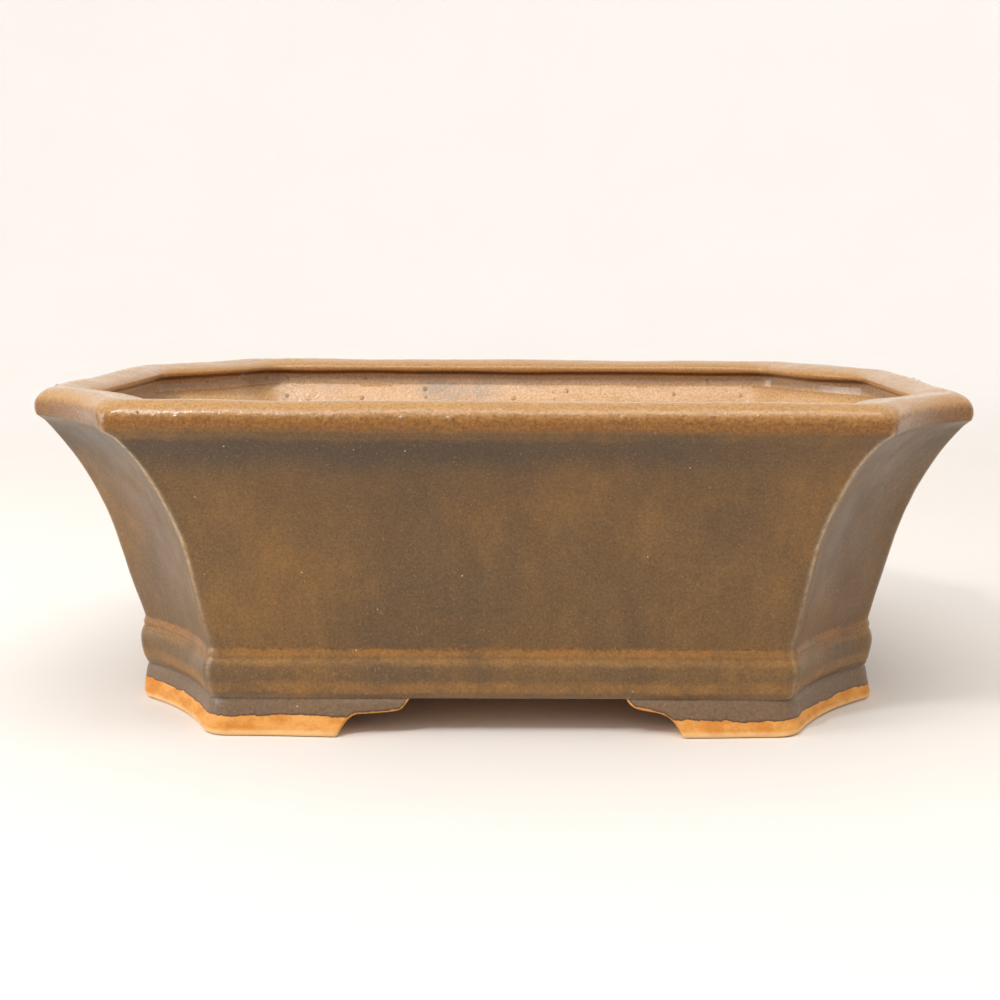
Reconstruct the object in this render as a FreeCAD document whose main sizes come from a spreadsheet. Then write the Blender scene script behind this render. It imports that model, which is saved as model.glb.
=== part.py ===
import FreeCAD, Part
import math
import os
import re
import Sketcher

# Rectangular bonsai pot with scooped corners, in millimetres, +Z up.
#
# The origin is the centre of the footprint on the table. The long sides face -Y (front) and +Y
# (back). The pot is built as a potter builds it, from slabs and strips of clay luted together: a
# floor slab inside a base band, four wall slabs and four corner slabs standing on the band, a rim
# strip along the top of each of those, and four cloud feet that wrap round the corners underneath.
#
# Every horizontal outline of the pot is the same figure: a rectangle whose corners are replaced by
# a rounded nose, a hollow scoop and a second rounded nose. "Inset" is how far an outline lies
# inside the rim's outermost one. The corner figure doesn't change with the inset, it only moves
# along the diagonal, so each joint between a side and a corner is one upright plane at 45 degrees.

SHEET_NAME = "dims"

DRIVING_DIMENSIONS = [
    # the whole pot
    ("rim_length", 222.0, "outermost length, over the rim"),
    ("rim_width", 152.0, "outermost width, over the rim"),
    ("pot_height", 80.0, "table to the crest of the rim"),
    ("wall_thickness", 7.0, "thickness of the wall slabs"),
    # the corner figure, seen from above
    ("corner_cut_x", 26.6, "from the rectangle's corner along the long side to the nose"),
    ("corner_cut_y", 35.0, "from the rectangle's corner along the short side to the nose"),
    ("scoop_radius", 70.0, "hollow between the noses"),
    ("nose_radius", 4.5, "rounding of the noses on the walls, rim and band"),
    ("foot_nose_radius", 6.5, "rounding of the noses on the feet"),
    # the wall, which leans out and then flares
    ("wall_foot_inset", 19.4, "outer face where the wall meets the band"),
    ("wall_lean", 13.3, "lean of the straight lower part, degrees"),
    ("wall_waist_height", 42.0, "height where the flare starts"),
    ("flare_radius", 86.2, "hollow curve of the flare"),
    # the rim strip
    ("rim_joint_height", 72.5, "top of the wall slabs"),
    ("bead_radius", 5.3, "outer roll of the rim"),
    ("lip_inset", 11.4, "inner face of the overhanging lip"),
    ("lip_crest_height", 77.6, "top of the inner face of the lip"),
    ("lip_under_height", 75.2, "bottom of the inner face of the lip"),
    ("lip_roll_radius", 7.2, "fall of the crest towards the lip"),
    ("lip_throat_radius", 4.0, "hollow under the lip"),
    # the base band
    ("band_top", 20.8, "joint between the band and the walls"),
    ("band_groove_height", 18.7, "groove between the band's two mouldings"),
    ("band_groove_inset", 19.0, "bottom of that groove"),
    ("band_bead_radius", 1.5, "small upper moulding"),
    ("band_bulge_radius", 15.0, "large lower moulding"),
    # the floor
    ("floor_thickness", 7.0, "floor slab"),
    ("drain_hole_radius", 10.0, "drain holes"),
    ("drain_hole_spacing", 96.0, "centre distance of the two drain holes"),
    # the feet
    ("foot_height", 9.0, "table to the underside of the pot"),
    ("foot_flare", 1.8, "how far a foot stands out at its toe"),
    ("foot_thickness", 9.6, "thickness of the foot strip"),
    ("toe_chamfer", 1.4, "bevel round the bottom edge of a foot"),
    ("foot_end_x", 25.5, "half of the gap between the feet, long side, at the pot's underside"),
    ("foot_end_y", 9.0, "half of the gap between the feet, short side, at the pot's underside"),
    ("lobe_reach", 3.4, "length of the rounded lobe at the end of a foot"),
    ("lobe_drop", 2.4, "height of the lobe"),
    ("lobe_radius", 3.2, "rounding of the lobe"),
    ("step_reach", 9.2, "end of the foot to the end of its step"),
    ("step_height", 5.9, "low end of the step, and the height of the toe's hollow"),
    ("toe_reach", 15.2, "end of the foot to its toe on the table"),
    ("toe_hollow_radius", 6.2, "hollow between the step and the toe"),
    ("cut_margin", 3.0, "how far the cutting outlines reach past the clay"),
    ("cut_depth", 40.0, "how far inwards the mitre cuts reach"),
]

DERIVED_DIMENSIONS = [
    ("half_length", "rim_length / 2"),
    ("half_width", "rim_width / 2"),
    ("slant", "sqrt(2)"),
    # the corner figure: how far the path turns at each nose, and where the noses begin
    ("corner_chord", "sqrt(corner_cut_x ^ 2 + corner_cut_y ^ 2)"),
    ("chord_bearing", "atan(corner_cut_y / corner_cut_x) / 1deg"),
    ("scoop_half_turn", "asin(corner_chord / (2 * scoop_radius)) / 1deg"),
    ("long_nose_slope", "tan((chord_bearing + scoop_half_turn) * 0.5deg)"),
    ("short_nose_slope", "tan((90 - chord_bearing + scoop_half_turn) * 0.5deg)"),
    ("corner_run_x", "corner_cut_x + nose_radius * long_nose_slope"),
    ("corner_run_y", "corner_cut_y + nose_radius * short_nose_slope"),
    # the wall's outer face, from the band up to the rim joint
    ("wall_waist_inset", "wall_foot_inset - (wall_waist_height - band_top) * tan(wall_lean * 1deg)"),
    ("flare_centre_inset", "wall_waist_inset - flare_radius * cos(wall_lean * 1deg)"),
    ("flare_centre_height", "wall_waist_height - flare_radius * sin(wall_lean * 1deg)"),
    ("flare_rise", "rim_joint_height - flare_centre_height"),
    ("wall_top_inset", "flare_centre_inset + sqrt(flare_radius ^ 2 - flare_rise ^ 2)"),
    ("bead_height", "pot_height - bead_radius - rim_joint_height"),
    ("bead_foot_inset", "bead_radius - sqrt(bead_radius ^ 2 - bead_height ^ 2)"),
    # the wall's inner face, parallel to the outer one
    ("inner_flare_radius", "flare_radius + wall_thickness"),
    ("inner_foot_inset", "wall_foot_inset + wall_thickness / cos(wall_lean * 1deg)"),
    ("inner_waist_inset", "wall_waist_inset + wall_thickness * cos(wall_lean * 1deg)"),
    ("inner_waist_height", "wall_waist_height + wall_thickness * sin(wall_lean * 1deg)"),
    ("inner_top_inset", "flare_centre_inset + sqrt(inner_flare_radius ^ 2 - flare_rise ^ 2)"),
    # the feet
    ("toe_inset", "wall_foot_inset - foot_flare"),
    ("foot_inner_inset", "toe_inset + foot_thickness"),
]

# Cross-sections, as closed outlines of (inset, height, bend) steps. The bend shapes the run from
# that point to the next: None is straight, and (radius, side) is an arc whose centre lies on that
# side of the run.
WALL_SECTION = [
    ("wall_foot_inset", "band_top", None),
    ("wall_waist_inset", "wall_waist_height", ("flare_radius", "left")),
    ("wall_top_inset", "rim_joint_height", None),
    ("inner_top_inset", "rim_joint_height", ("inner_flare_radius", "right")),
    ("inner_waist_inset", "inner_waist_height", None),
    ("inner_foot_inset", "band_top", None),
]
RIM_SECTION = [
    ("bead_foot_inset", "rim_joint_height", ("bead_radius", "right")),
    ("bead_radius", "pot_height", ("lip_roll_radius", "right")),
    ("lip_inset", "lip_crest_height", None),
    ("lip_inset", "lip_under_height", ("lip_throat_radius", "left")),
    ("inner_top_inset", "rim_joint_height", None),
]
BAND_SECTION = [
    ("wall_foot_inset", "foot_height", ("band_bulge_radius", "right")),
    ("band_groove_inset", "band_groove_height", ("band_bead_radius", "right")),
    ("wall_foot_inset", "band_top", None),
    ("inner_foot_inset", "band_top", None),
    ("inner_foot_inset", "foot_height", None),
]
FOOT_SECTION = [
    ("wall_foot_inset", "foot_height", None),
    ("foot_inner_inset", "foot_height", None),
    ("foot_inner_inset", "toe_chamfer", None),
    ("foot_inner_inset - toe_chamfer", "0", None),
    ("toe_inset + toe_chamfer", "0", None),
    ("toe_inset", "toe_chamfer", None),
]

SIDE_SIGNS = {
    "front": (0, -1),
    "back": (0, 1),
    "left": (-1, 0),
    "right": (1, 0),
}
CORNER_SIGNS = {
    "front_left": (-1, -1),
    "front_right": (1, -1),
    "back_left": (-1, 1),
    "back_right": (1, 1),
}

LONG_SIDES = ("front", "back")

# The courses of the pot, each with the name its corner pieces take.
STRIPS = {
    "band": BAND_SECTION,
    "wall": WALL_SECTION,
    "rim": RIM_SECTION,
}
CORNER_STRIP_NAMES = {
    "band": "band_corner",
    "wall": "corner",
    "rim": "rim_corner",
}

FACE_TOLERANCE = 1e-6

document = FreeCAD.newDocument("bonsai_pot")
sheet = document.addObject("Spreadsheet::Sheet", SHEET_NAME)


def fill_sheet():
    """Write the driving dimensions and the ones worked out from them."""
    row = 0
    for alias, value, meaning in DRIVING_DIMENSIONS:
        row += 1
        sheet.set(f"A{row}", alias)
        sheet.set(f"B{row}", str(value))
        sheet.set(f"C{row}", meaning)
        sheet.setAlias(f"B{row}", alias)
    for alias, formula in DERIVED_DIMENSIONS:
        row += 1
        sheet.set(f"A{row}", alias)
        sheet.set(f"B{row}", "=" + formula)
        sheet.setAlias(f"B{row}", alias)
    document.recompute()


def value_of(text):
    """The present value of a formula in the sheet's names."""
    return float(sheet.evalExpression(str(text)))


def linked(text):
    """The same formula, written so that another object can refer to the sheet."""
    return re.sub(r"([a-z]\w+)", SHEET_NAME + r".\1", str(text))


def bind(sketch, constraint, text):
    """Add a dimension to a sketch and drive it from the sheet."""
    index = sketch.addConstraint(constraint)
    sketch.setExpression(f"Constraints[{index}]", linked(text))


def place_point(sketch, geometry, end, x_text, y_text):
    """Hold one point of a sketch at a position measured from the sketch's origin."""
    origin = (-1, 1)
    bind(sketch, Sketcher.Constraint("DistanceX", *origin, geometry, end, value_of(x_text)), x_text)
    bind(sketch, Sketcher.Constraint("DistanceY", *origin, geometry, end, value_of(y_text)), y_text)


def join_points(sketch, first, second):
    sketch.addConstraint(Sketcher.Constraint("Coincident", *first, *second))


def flat_point(x_text, y_text):
    return FreeCAD.Vector(value_of(x_text), value_of(y_text), 0)


def add_line(sketch, start, end):
    """Add a straight run and return its number and which ends are its start and its finish."""
    return sketch.addGeometry(Part.LineSegment(start, end)), 1, 2


def add_arc(sketch, centre, start, end):
    """Add the shorter arc about a centre; returned like add_line, since arcs run anticlockwise."""
    first = start - centre
    last = end - centre
    anticlockwise = first.cross(last).z > 0
    if not anticlockwise:
        first, last = last, first
    circle = Part.Circle(centre, FreeCAD.Vector(0, 0, 1), first.Length)
    first_angle = math.atan2(first.y, first.x)
    last_angle = math.atan2(last.y, last.x)
    geometry = sketch.addGeometry(Part.ArcOfCircle(circle, first_angle, last_angle))
    if anticlockwise:
        return geometry, 1, 2
    return geometry, 2, 1


def arc_centre(start, end, radius, side):
    """Centre of an arc of that radius from start to end, to the left or right of the run."""
    run = end - start
    leftwards = FreeCAD.Vector(-run.y, run.x, 0).normalize()
    if side == "right":
        leftwards = -leftwards
    return (start + end) / 2 + leftwards * math.sqrt(radius ** 2 - (run.Length / 2) ** 2)


def draw_outline(sketch, steps):
    """Draw a closed outline from (x, y, bend) steps; see the note on cross-sections."""
    points = [flat_point(x_text, y_text) for x_text, y_text, bend in steps]
    runs = []
    for index, (x_text, y_text, bend) in enumerate(steps):
        start = points[index]
        end = points[(index + 1) % len(points)]
        if bend is None:
            run = add_line(sketch, start, end)
        else:
            radius_text, side = bend
            centre = arc_centre(start, end, value_of(radius_text), side)
            run = add_arc(sketch, centre, start, end)
        runs.append(run)
    for index, (x_text, y_text, bend) in enumerate(steps):
        geometry, start_end, finish_end = runs[index]
        next_geometry, next_start_end, next_finish_end = runs[(index + 1) % len(runs)]
        join_points(sketch, (geometry, finish_end), (next_geometry, next_start_end))
        place_point(sketch, geometry, start_end, x_text, y_text)
        if bend is not None:
            radius_text = bend[0]
            bind(sketch, Sketcher.Constraint("Radius", geometry, value_of(radius_text)), radius_text)


def draw_corner(sketch, signs, inset, nose="nose_radius"):
    """Draw nose, scoop and nose of one corner; returns its ends on the long and the short side."""
    sign_x, sign_y = signs
    long_run = f"(corner_cut_x + {nose} * long_nose_slope)"
    short_run = f"(corner_cut_y + {nose} * short_nose_slope)"
    long_start = (
        f"{sign_x} * (half_length - {long_run} - {inset})",
        f"{sign_y} * (half_width - {inset})",
    )
    long_centre = (long_start[0], f"{sign_y} * (half_width - {inset} - {nose})")
    short_start = (
        f"{sign_x} * (half_length - {inset})",
        f"{sign_y} * (half_width - {short_run} - {inset})",
    )
    short_centre = (f"{sign_x} * (half_length - {inset} - {nose})", short_start[1])

    long_nose_centre = flat_point(*long_centre)
    short_nose_centre = flat_point(*short_centre)
    nose_radius = value_of(nose)
    reach = value_of(f"scoop_radius + {nose}")
    side = "right" if sign_x * sign_y < 0 else "left"
    scoop_centre = arc_centre(long_nose_centre, short_nose_centre, reach, side)
    long_touch = long_nose_centre + (scoop_centre - long_nose_centre).normalize() * nose_radius
    short_touch = short_nose_centre + (scoop_centre - short_nose_centre).normalize() * nose_radius

    long_nose = add_arc(sketch, long_nose_centre, flat_point(*long_start), long_touch)
    scoop = add_arc(sketch, scoop_centre, long_touch, short_touch)
    short_nose = add_arc(sketch, short_nose_centre, short_touch, flat_point(*short_start))

    centre_of_arc = 3
    place_point(sketch, long_nose[0], long_nose[1], *long_start)
    place_point(sketch, long_nose[0], centre_of_arc, *long_centre)
    place_point(sketch, short_nose[0], short_nose[2], *short_start)
    place_point(sketch, short_nose[0], centre_of_arc, *short_centre)
    bind(sketch, Sketcher.Constraint("Radius", scoop[0], value_of("scoop_radius")), "scoop_radius")
    sketch.addConstraint(
        Sketcher.Constraint("Tangent", long_nose[0], long_nose[2], scoop[0], scoop[1])
    )
    sketch.addConstraint(
        Sketcher.Constraint("Tangent", scoop[0], scoop[2], short_nose[0], short_nose[1])
    )
    return (long_nose[0], long_nose[1]), (short_nose[0], short_nose[2])


def new_body(name):
    body = document.addObject("PartDesign::Body", name)
    body.Label = name
    body.Placement = FreeCAD.Placement()
    return body


def new_sketch(body, name, plane_role):
    """Start a sketch on one of the body's own origin planes."""
    sketch = body.newObject("Sketcher::SketchObject", f"{body.Name}_{name}")
    plane = [feature for feature in body.Origin.OriginFeatures if feature.Role == plane_role][0]
    sketch.AttachmentSupport = (plane, [""])
    sketch.MapMode = "FlatFace"
    return sketch


def long_side_joint(signs):
    """Where a corner meets a long side, on the outermost outline."""
    sign_x, sign_y = signs
    return f"{sign_x} * (half_length - corner_run_x)", f"{sign_y} * half_width"


def short_side_joint(signs):
    """Where a corner meets a short side, on the outermost outline."""
    sign_x, sign_y = signs
    return f"{sign_x} * half_length", f"{sign_y} * (half_width - corner_run_y)"


def in_body_frame(section, side_name):
    """Turn a cross-section's insets into distances from the pot's centre line."""
    sign = sum(SIDE_SIGNS[side_name])
    half = "half_width" if side_name in LONG_SIDES else "half_length"
    opposite = {"left": "right", "right": "left"}
    steps = []
    for inset, height, bend in section:
        if bend is not None and sign > 0:
            bend = (bend[0], opposite[bend[1]])
        steps.append((f"{sign} * ({half} - ({inset}))", height, bend))
    return steps


def mitre_cut(joint, signs, runs_along_x):
    """Outline of the clay beyond a mitre, seen from above, as steps for draw_outline."""
    sign_x, sign_y = signs
    joint_x, joint_y = joint
    outside = (f"{joint_x} + {sign_x} * cut_margin", f"{joint_y} + {sign_y} * cut_margin")
    inside = (f"{joint_x} - {sign_x} * cut_depth", f"{joint_y} - {sign_y} * cut_depth")
    beyond_x = f"{sign_x} * (half_length + cut_margin)"
    beyond_y = f"{sign_y} * (half_width + cut_margin)"
    if runs_along_x:
        turn = (beyond_x, inside[1])
        corner = (beyond_x, outside[1])
    else:
        turn = (inside[0], beyond_y)
        corner = (outside[0], beyond_y)
    return [(x_text, y_text, None) for x_text, y_text in (outside, inside, turn, corner)]


def cut_through(body, sketch):
    """Remove the sketch's outline from the body, through everything on both sides."""
    before = body.Shape.Volume
    pocket = body.newObject("PartDesign::Pocket", f"{sketch.Name}_pocket")
    pocket.Profile = sketch
    pocket.Type = "ThroughAll"
    pocket.SideType = "Symmetric"
    document.recompute()
    if not body.Shape.Volume < before:
        raise RuntimeError(f"{sketch.Name} removes nothing")
    return pocket


def make_side(name, section, side_name):
    """One straight strip: a cross-section extruded along its side and mitred at both ends."""
    body = new_body(name)
    runs_along_x = side_name in LONG_SIDES
    sketch = new_sketch(body, "section", "YZ_Plane" if runs_along_x else "XZ_Plane")
    draw_outline(sketch, in_body_frame(section, side_name))
    strip = body.newObject("PartDesign::Pad", f"{name}_strip")
    strip.Profile = sketch
    strip.SideType = "Symmetric"
    strip.setExpression("Length", linked("rim_length" if runs_along_x else "rim_width"))
    document.recompute()
    joint_of = long_side_joint if runs_along_x else short_side_joint
    for corner_name in corners_of(side_name):
        signs = CORNER_SIGNS[corner_name]
        cut = new_sketch(body, f"mitre_{corner_name}", "XY_Plane")
        draw_outline(cut, mitre_cut(joint_of(signs), signs, runs_along_x))
        cut_through(body, cut)
    return body


def corners_of(side_name):
    return [corner_name for corner_name in CORNER_SIGNS if side_name in corner_name.split("_")]


def mitre_face(body, signs):
    """Name of the slanting end face of a strip, at the corner with those signs."""
    diagonal = FreeCAD.Vector(*signs, 0).normalize()
    for index, face in enumerate(body.Shape.Faces, start=1):
        normal = face.normalAt(0, 0)
        upright = abs(normal.z) < FACE_TOLERANCE
        along_diagonal = abs(normal.dot(diagonal)) < FACE_TOLERANCE
        if upright and along_diagonal and face.CenterOfMass.x * signs[0] > 0:
            return f"Face{index}"
    raise RuntimeError(f"{body.Label} has no mitre face")


def make_corner(name, corner_name, long_side):
    """One corner strip: the neighbouring strip's mitre face, carried round nose, scoop and nose.

    The face keeps its direction all the way, so it ends as the mitre face of the short side.
    """
    signs = CORNER_SIGNS[corner_name]
    body = new_body(name)
    face = body.newObject("PartDesign::SubShapeBinder", f"{name}_mitre")
    face.Support = [(long_side.Tip, (mitre_face(long_side, signs),))]
    path = new_sketch(body, "path", "XY_Plane")
    draw_corner(path, signs, "0")
    document.recompute()
    sweep_along(body, (face, ["Face1"]), path)
    return body


def sweep_along(body, profile, path):
    sweep = body.newObject("PartDesign::AdditivePipe", f"{body.Name}_sweep")
    sweep.Profile = profile
    sweep.Spine = (path, [f"Edge{index + 1}" for index in range(path.GeometryCount)])
    sweep.Mode = "Fixed"
    document.recompute()
    return sweep


def make_floor():
    """The floor slab inside the base band, with its two drain holes."""
    body = new_body("floor_slab")
    outline = new_sketch(body, "outline", "XY_Plane")
    outline.setExpression("AttachmentOffset.Base.z", linked("foot_height"))
    ends = {}
    for corner_name, signs in CORNER_SIGNS.items():
        ends[corner_name] = draw_corner(outline, signs, "inner_foot_inset")
    for side_name in SIDE_SIGNS:
        end_of_run = 0 if side_name in LONG_SIDES else 1
        first, second = [ends[corner_name][end_of_run] for corner_name in corners_of(side_name)]
        start = outline.getPoint(*first)
        finish = outline.getPoint(*second)
        line, line_start, line_finish = add_line(outline, start, finish)
        join_points(outline, (line, line_start), first)
        join_points(outline, (line, line_finish), second)
    slab = body.newObject("PartDesign::Pad", "floor_slab_pad")
    slab.Profile = outline
    slab.setExpression("Length", linked("floor_thickness"))
    document.recompute()

    holes = new_sketch(body, "drain_holes", "XY_Plane")
    for sign in (-1, 1):
        centre_text = f"{sign} * drain_hole_spacing / 2"
        radius = value_of("drain_hole_radius")
        circle = Part.Circle(flat_point(centre_text, "0"), FreeCAD.Vector(0, 0, 1), radius)
        geometry = holes.addGeometry(circle)
        place_point(holes, geometry, 3, centre_text, "0")
        bind(holes, Sketcher.Constraint("Radius", geometry, radius), "drain_hole_radius")
    cut_through(body, holes)
    return body


def foot_end(end_text, sign):
    """Outline of the gap beside the end of a foot, as steps; the foot lies beyond the lobe."""
    lobe_side, hollow_side = ("left", "right") if sign > 0 else ("right", "left")
    return [
        (f"{sign} * ({end_text} - foot_inner_inset)", "-1 * cut_margin", None),
        (f"{sign} * ({end_text} + toe_reach)", "-1 * cut_margin", None),
        (f"{sign} * ({end_text} + toe_reach)", "0", ("toe_hollow_radius", lobe_side)),
        (f"{sign} * ({end_text} + step_reach)", "step_height", None),
        (f"{sign} * ({end_text} + lobe_reach)", "foot_height - lobe_drop",
         ("lobe_radius", hollow_side)),
        (f"{sign} * {end_text}", "foot_height", None),
        (f"{sign} * {end_text}", "foot_height + cut_margin", None),
        (f"{sign} * ({end_text} - foot_inner_inset)", "foot_height + cut_margin", None),
    ]


def make_foot(corner_name):
    """One cloud foot: a strip wrapped round the corner, with a lobe and a step cut at each end."""
    sign_x, sign_y = signs = CORNER_SIGNS[corner_name]
    body = new_body(f"foot_{corner_name}")

    path = new_sketch(body, "path", "XY_Plane")
    long_end, short_end = draw_corner(path, signs, "0", "foot_nose_radius")
    start_x = f"{sign_x} * (foot_end_x + toe_inset - cut_margin)"
    start_y = f"{sign_y} * half_width"
    finish_x = f"{sign_x} * half_length"
    finish_y = f"{sign_y} * (foot_end_y + toe_inset - cut_margin)"
    for end, far_x, far_y in ((long_end, start_x, start_y), (short_end, finish_x, finish_y)):
        line, near, far = add_line(path, path.getPoint(*end), flat_point(far_x, far_y))
        join_points(path, (line, near), end)
        place_point(path, line, far, far_x, far_y)

    section = new_sketch(body, "section", "XZ_Plane")
    inward_angle = math.degrees(math.atan2(-sign_y, -sign_x))
    turn = FreeCAD.Rotation(FreeCAD.Vector(0, 1, 0), inward_angle)
    section.AttachmentOffset = FreeCAD.Placement(FreeCAD.Vector(), turn)
    section.setExpression("AttachmentOffset.Base.x", linked(start_x))
    section.setExpression("AttachmentOffset.Base.z", linked(f"-1 * {start_y}"))
    slanted = [(f"slant * ({inset})", height, bend) for inset, height, bend in FOOT_SECTION]
    draw_outline(section, slanted)
    document.recompute()
    sweep_along(body, section, path)

    for name, plane_role, end_text, sign in (
        ("long_end", "XZ_Plane", "foot_end_x", sign_x),
        ("short_end", "YZ_Plane", "foot_end_y", sign_y),
    ):
        cut = new_sketch(body, name, plane_role)
        draw_outline(cut, foot_end(end_text, sign))
        cut_through(body, cut)
    return body


def build_pot():
    """Make every piece of clay; returns the bodies."""
    bodies = [make_floor()]
    for strip_name, section in STRIPS.items():
        sides = {}
        for side_name in SIDE_SIGNS:
            sides[side_name] = make_side(f"{strip_name}_{side_name}", section, side_name)
        corner_strip_name = CORNER_STRIP_NAMES[strip_name]
        for corner_name in CORNER_SIGNS:
            long_side = sides[corner_name.split("_")[0]]
            name = f"{corner_strip_name}_{corner_name}"
            bodies.append(make_corner(name, corner_name, long_side))
        bodies.extend(sides.values())
    for corner_name in CORNER_SIGNS:
        bodies.append(make_foot(corner_name))
    return bodies


def check_document(bodies):
    """Stop if anything in the document failed, or if a body isn't one valid solid."""
    for item in document.Objects:
        if "Invalid" in item.State or "Error" in item.State:
            raise RuntimeError(f"{item.Label}: {item.State}")
    for body in bodies:
        shape = body.Shape
        if shape.isNull() or not shape.isValid() or len(shape.Solids) != 1:
            raise RuntimeError(f"{body.Label} isn't one valid solid")


def export_parts(bodies):
    os.makedirs("parts", exist_ok=True)
    for body in bodies:
        body.Shape.exportStep(f"parts/{body.Label}.step")
        print(f"{body.Label}: {body.Shape.Volume / 1000:.2f} cm3")


fill_sheet()
pot = build_pot()
check_document(pot)
export_parts(pot)
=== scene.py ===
import math

import bmesh
import bpy
import numpy as np
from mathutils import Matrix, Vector


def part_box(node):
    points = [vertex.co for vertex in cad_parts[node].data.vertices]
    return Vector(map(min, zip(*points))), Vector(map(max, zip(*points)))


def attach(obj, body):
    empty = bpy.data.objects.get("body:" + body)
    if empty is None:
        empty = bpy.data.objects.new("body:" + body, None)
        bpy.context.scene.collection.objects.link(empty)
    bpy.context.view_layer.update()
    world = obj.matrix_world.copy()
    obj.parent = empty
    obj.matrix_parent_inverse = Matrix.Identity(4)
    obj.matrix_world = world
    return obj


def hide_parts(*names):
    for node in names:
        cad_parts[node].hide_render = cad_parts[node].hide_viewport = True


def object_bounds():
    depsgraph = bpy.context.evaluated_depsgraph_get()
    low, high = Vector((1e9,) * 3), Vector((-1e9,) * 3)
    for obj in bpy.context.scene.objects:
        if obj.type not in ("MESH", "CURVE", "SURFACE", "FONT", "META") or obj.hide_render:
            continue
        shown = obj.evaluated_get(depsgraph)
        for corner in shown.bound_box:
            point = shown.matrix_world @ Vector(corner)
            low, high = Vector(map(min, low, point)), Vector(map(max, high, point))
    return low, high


# A glazed stoneware bonsai pot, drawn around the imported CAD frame.
#
# All lengths in the shape sections are in millimetres and are turned into metres when a mesh is
# made. The pot is one continuous clay surface. It is computed panel by panel (four straight sides
# and four scooped corners) from one profile, and then cut into the same pieces as the CAD: band,
# wall and rim strips. "Inset" is how far a point lies inside the rim's outermost outline, and
# "girth" is the distance along the profile, from the bottom of the band up the outside, over the
# rim and down the inside.

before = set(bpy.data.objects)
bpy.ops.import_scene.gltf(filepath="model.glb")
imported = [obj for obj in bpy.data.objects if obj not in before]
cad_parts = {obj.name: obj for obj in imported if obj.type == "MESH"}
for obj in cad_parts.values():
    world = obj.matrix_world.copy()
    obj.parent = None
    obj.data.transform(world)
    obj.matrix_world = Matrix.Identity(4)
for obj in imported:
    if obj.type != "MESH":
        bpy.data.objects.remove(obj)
cad_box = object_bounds()

MM = 0.001
rng = np.random.default_rng(11)


def node_box(name):
    """Lowest and highest corner of a CAD node, in millimetres."""
    low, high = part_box(name)
    return np.array(low) / MM, np.array(high) / MM


# ---------------------------------------------------------------- sizes taken from the frame

rim_front_low, rim_front_high = node_box("rim_front")
_, rim_right_high = node_box("rim_right")
band_front_low, band_front_high = node_box("band_front")

BOX_LOW, BOX_HIGH = (np.array(corner) / MM for corner in cad_box)
HALF_LENGTH = rim_right_high[0]
HALF_WIDTH = -rim_front_low[1]
POT_HEIGHT = rim_front_high[2]
RIM_JOINT = rim_front_low[2]
BAND_TOP = band_front_high[2]
FOOT_TOP = band_front_low[2]
CORNER_RUN_X = HALF_LENGTH - rim_front_high[0]
CORNER_RUN_Y = HALF_WIDTH - rim_right_high[1]
LIP_INSET = rim_front_high[1] + HALF_WIDTH
INNER_FOOT_INSET = band_front_high[1] + HALF_WIDTH

# ---------------------------------------------------------------- sizes of the shape itself

WALL_THICKNESS = 7.0
WALL_LEAN = math.radians(13.3)
WALL_FOOT_INSET = INNER_FOOT_INSET - WALL_THICKNESS / math.cos(WALL_LEAN)
WALL_WAIST = 42.0
FLARE_RADIUS = 86.2
BEAD_RADIUS = 4.9
WALL_TOP = RIM_JOINT + 0.9
SCOOP_RADIUS = 70.0
SCOOP_JOINT_RADIUS = 4.5

# Noses as (radius, cut): the rounding, and how far along the long side the sharp tip would be.
WALL_NOSE_TOP = (2.2, 27.6)
WALL_NOSE_FOOT = (4.5, 23.7)
RIM_NOSE = (3.6, 26.2)
CREST_NOSE = (8.0, 23.7)
FOOT_NOSE = (6.5, 23.9)

FOOT_FLARE = 1.5
TOE_FLARE = 1.3
FOOT_THICKNESS = 9.6
FOOT_BEVEL = 1.3
FOOT_END_Y = 9.0

# The feet are made by hand, so each has its own end on the long side and its own length of step.
FOOT_END_X = {"front_left": 21.4, "front_right": 29.2, "back_left": 24.5, "back_right": 26.0}
STEP_STRETCH = {"front_left": 3.6, "front_right": 0.0, "back_left": 1.4, "back_right": 2.2}

CORNERS = {
    "front_left": (-1, -1),
    "front_right": (1, -1),
    "back_left": (-1, 1),
    "back_right": (1, 1),
}
SIDES = {
    "front": (0, -1),
    "back": (0, 1),
    "left": (-1, 0),
    "right": (1, 0),
}


# ---------------------------------------------------------------- the profile

def arc(centre, radius, start_angle, end_angle, count):
    """Points of an arc in the (inset, height) plane; angles in radians, end left out."""
    angles = np.linspace(start_angle, end_angle, count, endpoint=False)
    return np.stack([centre[0] + radius * np.cos(angles), centre[1] + radius * np.sin(angles)], 1)


def run(start, end, count):
    """Points of a straight run, end left out."""
    steps = np.linspace(0.0, 1.0, count, endpoint=False)[:, None]
    return np.array(start) * (1 - steps) + np.array(end) * steps


def curve_through(points, count):
    """A smooth curve through a few points (Catmull-Rom), end left out."""
    points = [np.array(point, float) for point in points]
    padded = [2 * points[0] - points[1]] + points + [2 * points[-1] - points[-2]]
    spans = len(points) - 1
    result = []
    for step in np.linspace(0.0, spans, count, endpoint=False):
        span = int(step)
        t = step - span
        a, b, c, d = padded[span:span + 4]
        result.append(0.5 * (2 * b + (c - a) * t + (2 * a - 5 * b + 4 * c - d) * t ** 2
                             + (3 * b - a - 3 * c + d) * t ** 3))
    return np.array(result)


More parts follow.
